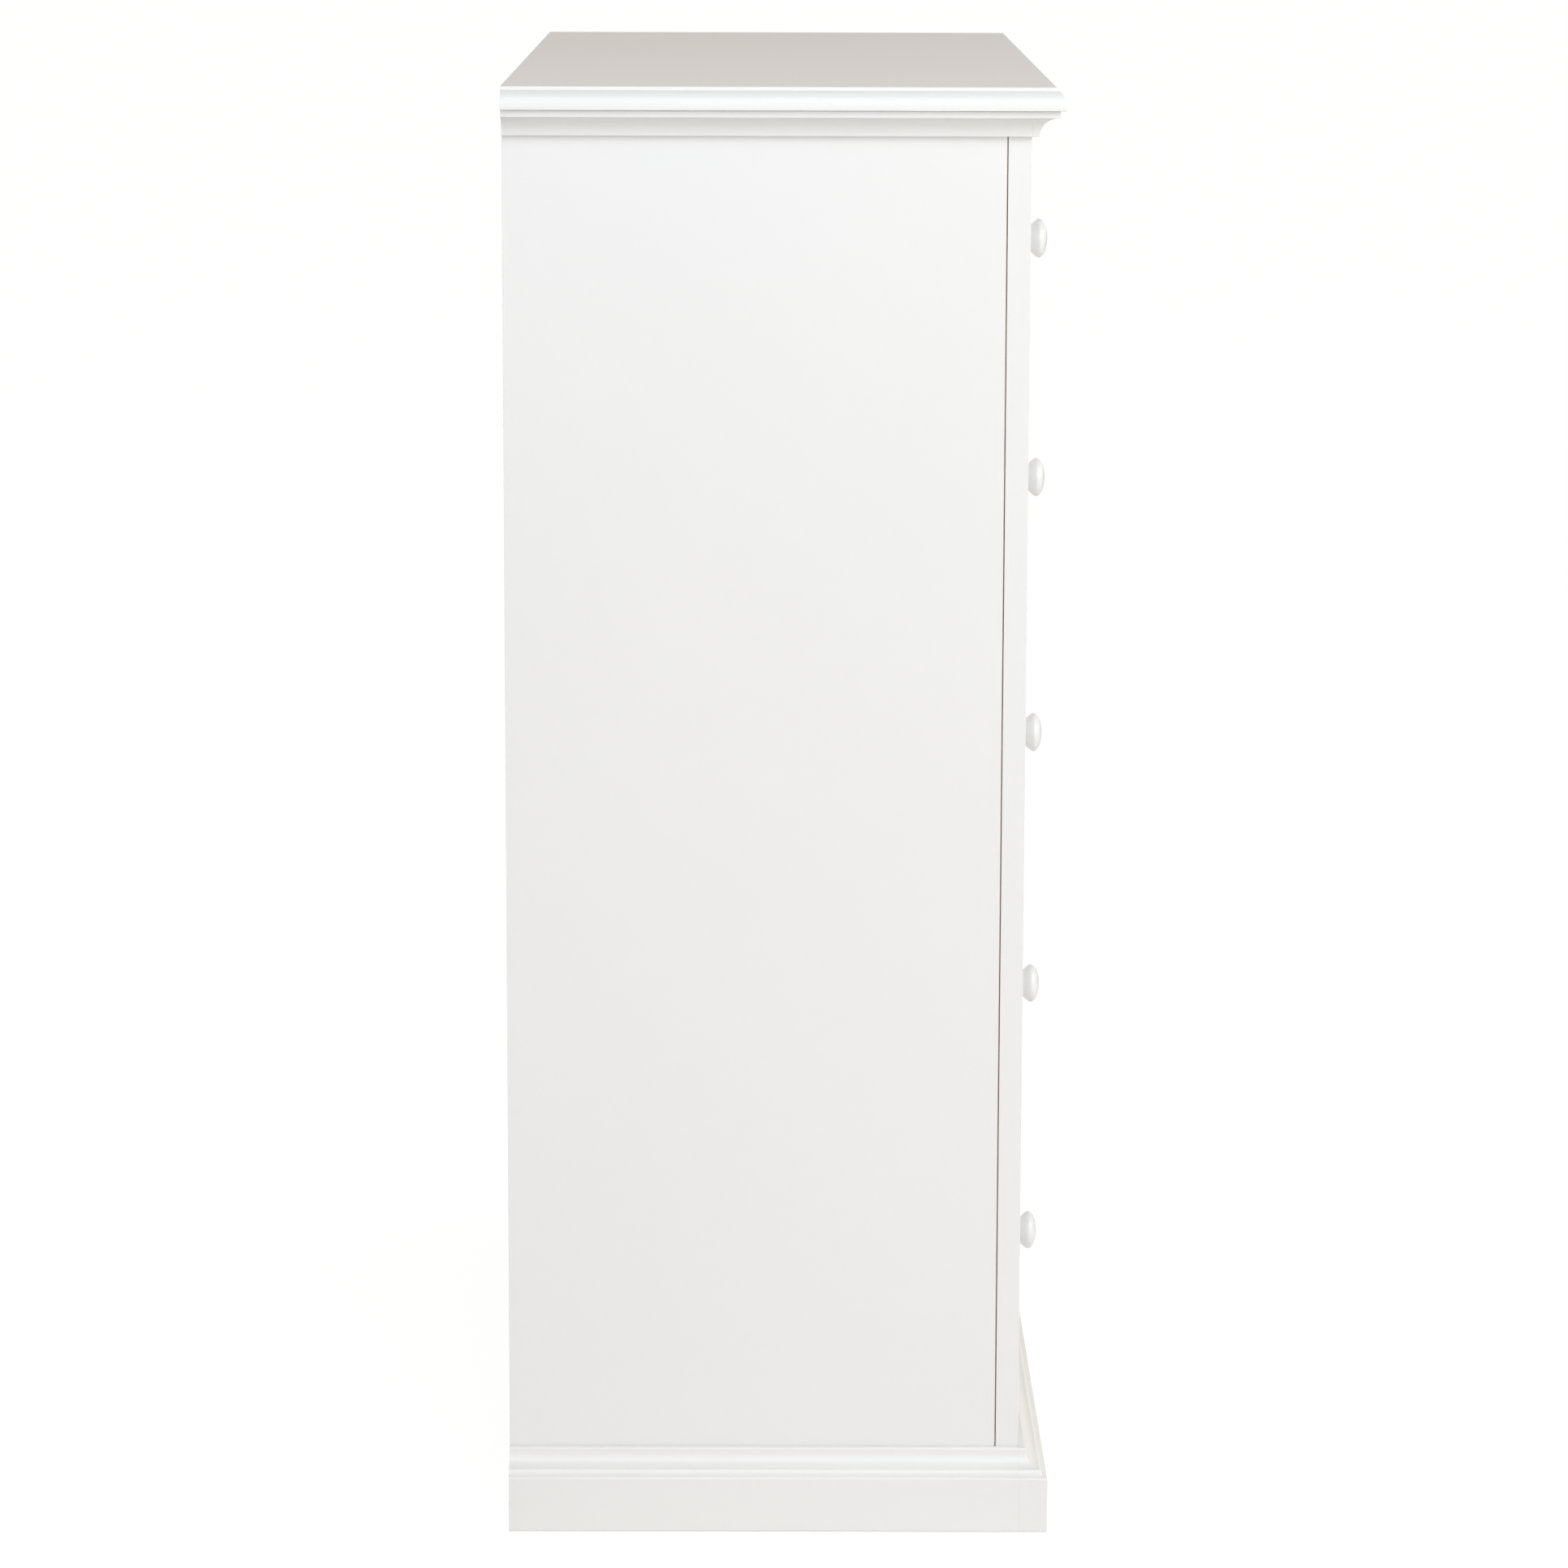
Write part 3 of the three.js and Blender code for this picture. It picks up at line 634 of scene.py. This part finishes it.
def moulding_faces(grid, straight):
    """The grid's quads, and the flat faces that close it. A moulding that wraps the chest is closed by its
    underside, its head and one flat back. A straight one is closed by its two ends and one flat back."""
    rows, columns = grid.shape[:2]
    index = np.arange(rows * columns).reshape(rows, columns)
    if straight:
        flats = [index[0], index[-1], np.concatenate([index[:, 0], index[::-1, -1]])]
    else:
        flats = [index[:, 0], index[:, -1], np.concatenate([index[0], index[-1, ::-1]])]
    return grid_faces(rows, columns) + [flat.tolist() for flat in flats]


# %% Top board and front mouldings
MOULDING_ARRIS = 0.12 * MM
SEAM = 0.03 * MM


def front_moulding(node, profile_of, ease):
    """A moulding that wraps the front, with its ends worked to the same profile."""
    low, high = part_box(node)
    projection = -body_half - low.x
    profile = eased(profile_of(projection, high.z - low.z), ease)
    corner_front = low.y + projection
    points, ways = stations_round(body_half, corner_front, high.y)
    grid = carried(profile, points, ways, low.z)
    piece = make_piece(node + "_run", grid, moulding_faces(grid, straight=False), satin_white, "carcass",
                       [node], MOULDING_ARRIS)
    print(f"{piece.name}: proud by {projection / MM:.1f} mm, {len(profile)} points in the profile")
    return piece


front_moulding("top_board", top_edge_profile, SHARP_EASE)
front_moulding("cornice_front", cornice_profile, SHARP_EASE)
front_moulding("plinth_front", plinth_profile, SOFT_EASE)


# %% Side mouldings
def side_moulding(node, profile_of, ease):
    """A straight length of moulding on one side, flat at its back and square at both ends. Its front end
    comes up to a hair's breadth from the moulding that wraps the front, as a glued and painted joint
    does."""
    low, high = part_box(node)
    front_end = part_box(node.rsplit("_", 1)[0] + "_front")[1].y + SEAM
    side = 1.0 if low.x > 0 else -1.0
    inner = (low.x if side > 0 else -high.x) - body_half
    projection = (high.x if side > 0 else -low.x) - body_half
    profile = profile_of(projection, high.z - low.z)
    profile[[0, -1], 0] = inner
    points = np.array([[side * body_half, high.y], [side * body_half, front_end]])
    grid = carried(eased(profile, ease), points, np.array([[side, 0.0]] * 2), low.z)
    return make_piece(node + "_run", grid, moulding_faces(grid, straight=True), satin_white, "carcass",
                      [node], MOULDING_ARRIS)


for hand in HANDS:
    side_moulding(f"cornice_{hand}", cornice_profile, SHARP_EASE)
    side_moulding(f"plinth_{hand}", plinth_profile, SOFT_EASE)
print("side mouldings: 4")

# %% [markdown]
# ## Knobs
# Each knob is turned on a lathe, so its surface is a surface of revolution: a profile of radius against
# distance from the drawer's front, turned through a whole circle. The face is half an ellipse, the back
# rounds over from the rim and runs down to a neck, and the foot spreads into a small seat. A sphere
# squashed with scale would look close from far off, but the shoulder where the face meets the back is what
# gives this knob its look.

# %% Turned knobs
KNOB_RIM, KNOB_NECK_AT = 17 * MM, 5 * MM
KNOB_NECK, KNOB_SEAT, KNOB_HOLE, KNOB_HOLE_DEPTH = 6.5 * MM, 8 * MM, 2 * MM, 14 * MM
KNOB_EASE = 1.1 * MM
KNOB_TURN_STEPS = 72


def cubic(a, b, c, d, steps):
    """Points of the curve (1-t)^3 a + 3t(1-t)^2 b + 3t^2(1-t) c + t^3 d."""
    t = np.linspace(0, 1, steps + 1)[:, None]
    a, b, c, d = (np.asarray(point, float) for point in (a, b, c, d))
    return (1 - t) ** 3 * a + 3 * t * (1 - t) ** 2 * b + 3 * t**2 * (1 - t) * c + t**3 * d


def knob_profile(rim_radius, length):
    """(radius, out) points from the middle of the face, round the rim, down the back to the seat, and up
    the screw's hole."""
    face = arc(0, KNOB_RIM, rim_radius, length - KNOB_RIM, 90, 0)[1:]
    spread, flare = rim_radius - KNOB_NECK, KNOB_RIM - KNOB_NECK_AT
    back = cubic(
        (rim_radius, KNOB_RIM),
        (KNOB_NECK + 0.95 * spread, KNOB_NECK_AT + 0.75 * flare),
        (KNOB_NECK + 0.15 * spread, KNOB_NECK_AT + 0.3 * flare),
        (KNOB_NECK, KNOB_NECK_AT), 10,
    )[1:]
    foot = cubic(
        (KNOB_NECK, KNOB_NECK_AT), (KNOB_NECK, 3.2 * MM), (KNOB_NECK, 1.6 * MM), (KNOB_SEAT, 0), 6,
    )[1:]
    hole = [[KNOB_HOLE, 0], [KNOB_HOLE, KNOB_HOLE_DEPTH]]
    return eased(np.vstack([face, back, foot, hole]), KNOB_EASE)


def turned(profile, centre, steps):
    """A profile of (radius r, out s) turned about the line through centre that points towards -Y: (x + r
    cos a, y - s, z + r sin a), for a once round."""
    angle = np.linspace(0, math.tau, steps, endpoint=False)
    radius, out = profile[:, :1], profile[:, 1:]
    return np.dstack([
        centre[0] + radius * np.cos(angle),
        centre[1] - out + 0 * angle,
        centre[2] + radius * np.sin(angle),
    ])


def turned_faces(rows, columns):
    """Quads round the turned grid, and one face at each end of the profile."""
    index = np.arange(rows * columns).reshape(rows, columns)
    return grid_faces(rows, columns, closed=True) + [index[0].tolist(), index[-1].tolist()]


def add_knob(node, body):
    """One knob, seated where the CAD's knob is."""
    low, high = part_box(node)
    centre = ((low.x + high.x) / 2, high.y, (low.z + high.z) / 2)
    profile = knob_profile((high.z - low.z) / 2, high.y - low.y)
    grid = turned(profile, centre, KNOB_TURN_STEPS)
    faces = turned_faces(*grid.shape[:2])
    return make_piece(node + "_turned", grid, faces, knob_white, body, [node])


for drawer in DRAWERS:
    for hand in HANDS:
        add_knob(drawer.replace("drawer", "knob") + "_" + hand, drawer)
print("knobs:", 2 * len(DRAWERS))

# %% [markdown]
# ## Fixings
# Small steel pieces hold the chest together where nobody looks: a pan-head screw and washer behind each
# knob, low domed screws in each runner, and rows of pins down the sides and along the foot of the back.
# They are worked out as turned profiles too. The cross in a screw's head is a second function laid over the
# first: the head's height falls wherever the point is inside one of two crossing bars.

# %% Knob screws
SCREW_HEAD, SCREW_HEAD_HEIGHT, SCREW_SHANK, SCREW_GRIP = 4.2 * MM, 2.6 * MM, 1.7 * MM, 10 * MM
SCREW_SKIRT, SCREW_EASE, SCREW_TURN_STEPS = 0.9 * MM, 0.2 * MM, 48
WASHER_RADIUS, WASHER_THICKNESS, WASHER_ARRIS = 6 * MM, 1 * MM, 0.15 * MM
CROSS_WIDTH, CROSS_ARM, CROSS_DEPTH = 0.55 * MM, 2.4 * MM, 1.3 * MM


def ramp(value, low, high):
    """Rises smoothly from 0 at low to 1 at high, as 3t^2 - 2t^3."""
    t = np.clip((value - low) / (high - low), 0, 1)
    return t * t * (3 - 2 * t)


def cross_recess(across, up, width, arm, depth):
    """How deep the cross is at a point: full depth within a bar's half width and the arm's length, with
    sloping walls. The nearer of the two distances to the bars' lines says which bar the point is in."""
    beside = np.minimum(np.abs(across), np.abs(up))
    beyond = np.maximum(np.abs(across), np.abs(up))
    return depth * (1 - ramp(beside, 0.6 * width, 1.4 * width)) * (1 - ramp(beyond, 0.7 * arm, arm))


def knob_screw(name, centre, body, reach):
    """A screw whose head stands on the washer, towards +Y, and whose shank runs to -Y into the knob."""
    washer = WASHER_THICKNESS
    crown = arc(0, -washer - SCREW_SKIRT, SCREW_HEAD, SCREW_HEAD_HEIGHT - SCREW_SKIRT, 270, 360)[1:]
    head = np.vstack([crown, [[SCREW_HEAD, -washer], [SCREW_SHANK, -washer], [SCREW_SHANK, reach]]])
    middle = np.linspace([0.2 * MM, crown[0, 1]], crown[0], 12)[:-1]
    head = np.vstack([[[0.02 * MM, crown[0, 1]]], middle, head])
    grid = turned(eased(head, SCREW_EASE), centre, SCREW_TURN_STEPS)
    across, up = grid[..., 0] - centre[0], grid[..., 2] - centre[2]
    sunk = cross_recess(across, up, CROSS_WIDTH, CROSS_ARM, CROSS_DEPTH)
    on_crown = ramp(grid[..., 1] - centre[1], washer + 0.4 * MM, washer + 1.0 * MM)
    grid[..., 1] -= sunk * on_crown
    return make_piece(name, grid, turned_faces(*grid.shape[:2]), plated_steel, body)


def washer_ring(name, centre, body):
    """A flat ring under the screw's head: a small rectangle turned about the screw's line."""
    corners = [[SCREW_SHANK, 0], [WASHER_RADIUS, 0], [WASHER_RADIUS, -WASHER_THICKNESS],
               [SCREW_SHANK, -WASHER_THICKNESS], [SCREW_SHANK, 0]]
    grid = turned(np.array(corners), centre, SCREW_TURN_STEPS)[:-1]
    rows, columns = grid.shape[:2]
    index = np.arange(rows * columns).reshape(rows, columns)
    wrapped = np.pad(index, ((0, 1), (0, 1)), mode="wrap")
    quads = [wrapped[:-1, :-1], wrapped[:-1, 1:], wrapped[1:, 1:], wrapped[1:, :-1]]
    faces = np.stack(quads, axis=-1).reshape(-1, 4)
    return make_piece(name, grid, faces.tolist(), plated_steel, body, arris=WASHER_ARRIS)


for drawer in DRAWERS:
    front_low, front_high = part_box(f"{drawer}_front")
    for hand in HANDS:
        knob_low, knob_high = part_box(drawer.replace("drawer", "knob") + "_" + hand)
        seat = ((knob_low.x + knob_high.x) / 2, front_high.y, (knob_low.z + knob_high.z) / 2)
        through = front_high.y - front_low.y + SCREW_GRIP
        knob_screw(f"{drawer}_knob_screw_{hand}", seat, drawer, through)
        washer_ring(f"{drawer}_knob_washer_{hand}", seat, drawer)
print("knob screws and washers:", 2 * len(DRAWERS))

# %% Runner screws and back pins
RUNNER_SCREW_HEAD, RUNNER_SCREW_RISE, RUNNER_SCREW_SHANK = 3.3 * MM, 0.6 * MM, 1.5 * MM
RUNNER_SCREW_GRIP, RUNNER_SCREWS, RUNNER_SCREW_INSET = 7 * MM, 3, 45 * MM
RUNNER_SCREW_TURN_STEPS, PIN_TURN_STEPS = 24, 10
RUNNER_CROSS_WIDTH, RUNNER_CROSS_ARM, RUNNER_CROSS_DEPTH = 0.5 * MM, 2.2 * MM, 0.45 * MM
PIN_HEAD, PIN_RISE, PIN_SHANK = 1.6 * MM, 0.4 * MM, 0.7 * MM
PIN_INSET, PIN_SPACING, PIN_END = 3.2 * MM, 110 * MM, 25 * MM


def domed_fixing(head, rise, shank, grip, columns):
    """A low dome, half an ellipse, on a straight shank. It points to -Y and its head sits at the origin."""
    dome = arc(0, 0, head, rise, 90, 0)[2::2]
    profile = np.vstack([[[0.05 * head, rise]], dome, [[shank, 0], [shank, -grip]]])
    return turned(profile, (0, 0, 0), columns)


def copied(grid, places):
    """The same grid of points set down at each place."""
    return grid + np.asarray(places)[:, None, None, :]


def copied_faces(copies, rows, columns):
    """The faces of one turned shape for each copy, numbered on by one shape's points each time."""
    index = np.arange(rows * columns).reshape(rows, columns)
    step = np.arange(copies)[:, None, None] * rows * columns
    sides = np.array(grid_faces(rows, columns, closed=True)) + step
    ends = index[[0, -1]] + step
    return sides.reshape(-1, 4).tolist() + ends.reshape(-1, columns).tolist()


screw = domed_fixing(
    RUNNER_SCREW_HEAD, RUNNER_SCREW_RISE, RUNNER_SCREW_SHANK, RUNNER_SCREW_GRIP, RUNNER_SCREW_TURN_STEPS)
in_head = ramp(-screw[..., 1], -0.1 * MM, 0.1 * MM)
screw[..., 1] += in_head * cross_recess(
    screw[..., 0], screw[..., 2], RUNNER_CROSS_WIDTH, RUNNER_CROSS_ARM, RUNNER_CROSS_DEPTH)
for drawer in DRAWERS:
    for hand, side in zip(HANDS, (-1, 1)):
        runner = drawer.replace("drawer", "runner") + "_" + hand
        low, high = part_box(runner)
        stations = np.linspace(low.y + RUNNER_SCREW_INSET, high.y - RUNNER_SCREW_INSET, RUNNER_SCREWS)
        face = high.x if side < 0 else low.x
        places = [(face, station, (low.z + high.z) / 2) for station in stations]
        across = np.stack([side * screw[..., 1], screw[..., 0], screw[..., 2]], axis=-1)
        faces = copied_faces(RUNNER_SCREWS, *screw.shape[:2])
        make_piece(runner + "_screws", copied(across, places), faces, plated_steel, "carcass")

# A pin needs only every second ring, and ends where its shank enters the board.
pin = domed_fixing(PIN_HEAD, PIN_RISE, PIN_SHANK, 0, PIN_TURN_STEPS)[:-1:2] * (1, -1, 1)
low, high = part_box("back_panel")
heights = np.linspace(low.z + PIN_END, high.z - PIN_END, round((high.z - low.z) / PIN_SPACING))
widths = np.linspace(low.x + PIN_END, high.x - PIN_END, round((high.x - low.x) / PIN_SPACING))
foot_low, foot_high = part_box("bottom_panel")
places = [(x, high.y, z) for x in (low.x + PIN_INSET, high.x - PIN_INSET) for z in heights]
places += [(x, high.y, (foot_low.z + foot_high.z) / 2) for x in widths]
faces = copied_faces(len(places), *pin.shape[:2])
make_piece("back_pins", copied(pin, places), faces, plated_steel, "carcass")
print("runner screws:", 2 * len(DRAWERS) * RUNNER_SCREWS, " back pins:", len(places))

# %% [markdown]
# ## Floor, light and camera
# The floor is a wide pale sheet. The light is soft and comes mostly from the side that the camera looks at.
# A high softbox lights the rounds of the mouldings from above, a lower one reaches under the overhanging
# top, and a third lights the front. The world adds the glow of a pale room, stronger from its walls than
# from its ceiling, so the upright faces are bright and the flat top a little greyer.

# %% Floor
FLOOR_SIZE = 240.0
FLOOR_BOUNCE = (0.87, 0.85, 0.82, 1)
FLOOR_GLOW = 0.96


def pale_floor():
    """A flat sheet of pale paper with a faint tooth. The camera sees it as paper lit from behind, near
    white with only a little of its own shading. Light that bounces from it to the chest comes from plain
    paper."""
    half = FLOOR_SIZE / 2
    mesh = bpy.data.meshes.new("studio_floor")
    corners = [(-half, -half, 0), (half, -half, 0), (half, half, 0), (-half, half, 0)]
    mesh.from_pydata(corners, [], [(0, 1, 2, 3)])
    floor = bpy.data.objects.new("studio_floor", mesh)
    bpy.context.scene.collection.objects.link(floor)
    material, tree, shader, coordinates = new_finish("pale_paper", 0.9)
    tooth = add_node(tree, "TexNoise", Vector=coordinates, Scale=300.0, Detail=2.0)
    paper = add_mix(tree, tooth.outputs["Fac"], (0.1, 0.1, 0.1, 1), (0.12, 0.12, 0.12, 1))
    tree.links.new(paper, shader.inputs["Base Color"])
    shader.inputs["Specular IOR Level"].default_value = 0.0
    shader.inputs["Emission Color"].default_value = (1, 1, 1, 1)
    shader.inputs["Emission Strength"].default_value = FLOOR_GLOW
    bounce = add_node(tree, "BsdfDiffuse", Color=FLOOR_BOUNCE)
    seen = tree.nodes.new("ShaderNodeLightPath").outputs["Is Camera Ray"]
    both = tree.nodes.new("ShaderNodeMixShader")
    for socket, output in zip(both.inputs, (seen, bounce.outputs[0], shader.outputs[0])):
        tree.links.new(output, socket)
    tree.links.new(both.outputs[0], tree.nodes["Material Output"].inputs["Surface"])
    mesh.materials.append(material)
    return floor


pale_floor()


# %% Lights
def softbox(name, place, aim, size, power, colour=(1, 1, 1)):
    """A rectangular area light that faces a point."""
    lamp = bpy.data.lights.new(name, "AREA")
    lamp.shape = "RECTANGLE"
    lamp.size, lamp.size_y = size
    lamp.energy = power
    lamp.color = colour
    holder = bpy.data.objects.new(name, lamp)
    bpy.context.scene.collection.objects.link(holder)
    way = np.array(aim) - np.array(place)
    back = -way / np.linalg.norm(way)
    right = np.cross([0, 0, 1], back)
    right /= np.linalg.norm(right)
    up = np.cross(back, right)
    rows = [[*axis, at] for axis, at in zip(np.column_stack([right, up, back]), place)]
    holder.matrix_world = Matrix(rows + [[0, 0, 0, 1]])
    return holder


KEY_COLOUR, FRONT_COLOUR, WORLD_COLOUR = (0.9, 1.0, 1.136), (0.98, 1.0, 0.945), (1.094, 1.0, 0.929, 1)
KEY_POWER, SIDE_POWER, FRONT_POWER = 36.0, 17.5, 70.5
BODY_AIM, SIDE_BOX_SIZE = (-0.45, 0, 0.7), (2.6, 1.6)
softbox("key_softbox", (-3.0, -0.2, 3.0), BODY_AIM, SIDE_BOX_SIZE, KEY_POWER, KEY_COLOUR)
softbox("side_softbox", (-3.8, -0.2, 1.5), BODY_AIM, SIDE_BOX_SIZE, SIDE_POWER, KEY_COLOUR)
softbox("front_softbox", (-1.2, -3.4, 2.0), (-0.2, 0, 0.7), (2.4, 2.0), FRONT_POWER, FRONT_COLOUR)

WALL_TOP = 0.6


def studio_world(horizon, zenith, colour):
    """Soft light from all round. Its strength falls evenly from the horizon's, and reaches the zenith's
    where the sine of the height is WALL_TOP, as in a room whose walls are lit more than its ceiling."""
    world = bpy.data.worlds.new("studio_world")
    world.use_nodes = True
    tree = world.node_tree
    way = add_node(tree, "SeparateXYZ", Vector=tree.nodes.new("ShaderNodeTexCoord").outputs["Generated"])
    backdrop = tree.nodes["Background"]
    backdrop.inputs["Color"].default_value = colour
    strength = add_range(tree, way.outputs["Z"], 0.0, WALL_TOP, horizon, zenith)
    tree.links.new(strength, backdrop.inputs["Strength"])
    bpy.context.scene.world = world


HORIZON_LIGHT, ZENITH_LIGHT = 0.985, 0.296
studio_world(HORIZON_LIGHT, ZENITH_LIGHT, WORLD_COLOUR)
bpy.context.scene.view_settings.view_transform = "Standard"

# %% [markdown]
# The camera stands well back from the chest's left side and looks slightly down on it through a long lens,
# so the side panel is almost square to the view and the top shows as a thin wedge. Its place and tilt are
# given and turned into one matrix: the camera looks along its own -Z, with +X to its right.

# %% Camera
CAMERA_PLACE = (-4.6857, 0.0129, 1.3684)
CAMERA_LENS, CAMERA_REACH = 125.24, 200
CAMERA_PITCH, CAMERA_YAW, CAMERA_ROLL = (math.radians(angle) for angle in (10.263, 0.197, 0.163))


def side_camera():
    """Looks along +X, tilted down by the pitch. Yaw turns it towards the front, and roll leans it."""
    ahead = np.array([math.cos(CAMERA_YAW), -math.sin(CAMERA_YAW), 0])
    right = np.array([-math.sin(CAMERA_YAW), -math.cos(CAMERA_YAW), 0])
    up = np.array([0, 0, 1])
    looking = ahead * math.cos(CAMERA_PITCH) - up * math.sin(CAMERA_PITCH)
    above = up * math.cos(CAMERA_PITCH) + ahead * math.sin(CAMERA_PITCH)
    leaned_right = right * math.cos(CAMERA_ROLL) + above * math.sin(CAMERA_ROLL)
    leaned_up = above * math.cos(CAMERA_ROLL) - right * math.sin(CAMERA_ROLL)
    columns = np.column_stack([leaned_right, leaned_up, -looking, CAMERA_PLACE])
    camera = bpy.data.objects.new("studio_camera", bpy.data.cameras.new("studio_camera"))
    camera.data.lens = CAMERA_LENS
    camera.data.clip_end = CAMERA_REACH
    camera.matrix_world = Matrix([*columns.tolist(), [0, 0, 0, 1]])
    bpy.context.scene.collection.objects.link(camera)
    bpy.context.scene.camera = camera


side_camera()
